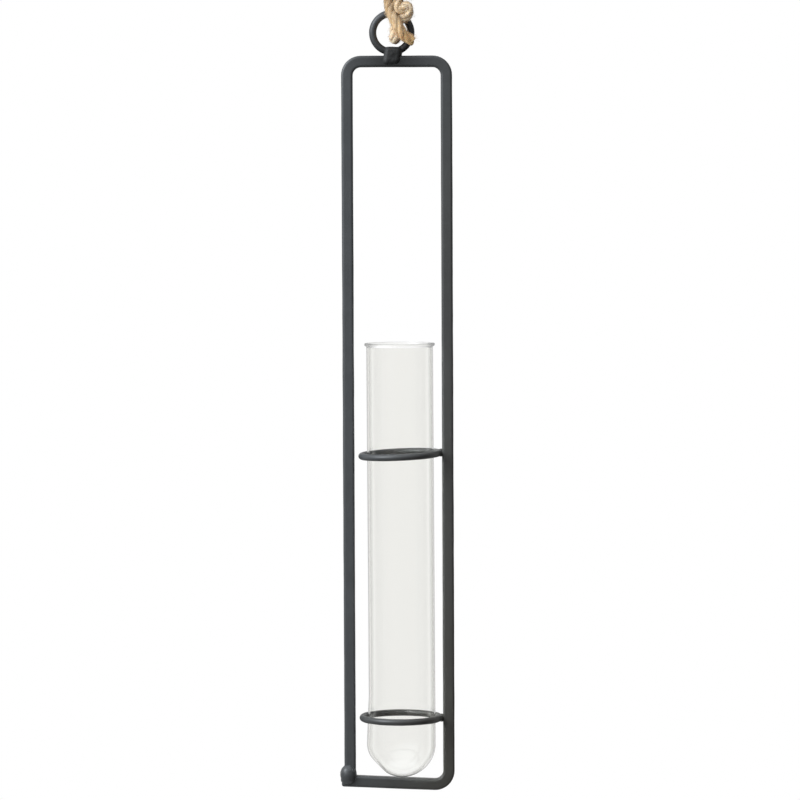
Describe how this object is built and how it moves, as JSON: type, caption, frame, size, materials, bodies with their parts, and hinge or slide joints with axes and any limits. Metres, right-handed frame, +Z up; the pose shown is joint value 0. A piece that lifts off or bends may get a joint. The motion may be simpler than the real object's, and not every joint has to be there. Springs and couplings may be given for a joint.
{
  "type": "hanging wall vase",
  "caption": "Hanging wall vase: a clear glass test tube standing in wire rings inside a tall black frame of bent square bar, hung by a wire ring from a hitched rope loop.",
  "frame": {"origin": "where a nail or hook carries the rope loop, at the inside of the loop's top", "axes": "+Z up, +X to the right of a viewer facing the vase, +Y towards the wall"},
  "size_m": [0.0521, 0.038, 0.4446],
  "materials": {
    "painted_iron": "satin black paint over hand-forged bar and wire",
    "clear_glass": "clear, smooth, fire-polished rim",
    "jute_rope": "laid natural jute, slightly hairy"
  },
  "bodies": {
    "bight": {"rope_bight": "jute_rope"},
    "rope": {"rope_tail_leg": "jute_rope", "rope_hitch_leg": "jute_rope"},
    "frame": {"frame_bar": "painted_iron", "corner_weld": "painted_iron", "hanging_ring": "painted_iron", "hanging_ring_weld": "painted_iron", "upper_holder_ring": "painted_iron", "upper_holder_weld": "painted_iron", "lower_holder_ring": "painted_iron", "lower_holder_weld": "painted_iron"},
    "tube": {"glass_tube": "clear_glass"}
  },
  "joints": [
    {"name": "nail_swing", "type": "hinge", "parent": "bight", "child": "rope", "pos_m": [0, -0.00023, -0.008], "axis": [-1, 0, 0], "range_deg": [-20, 40], "deforming": ["rope_tail_leg", "rope_hitch_leg"]},
    {"name": "ring_swing", "type": "hinge", "parent": "rope", "child": "frame", "pos_m": [-0.0021, 0, -0.095], "axis": [0, 1, 0], "range_deg": [-25, 35]},
    {"name": "tube_lift", "type": "slide", "parent": "frame", "child": "tube", "axis": [0, 0, 1], "range_m": [0, 0.12]}
  ]
}
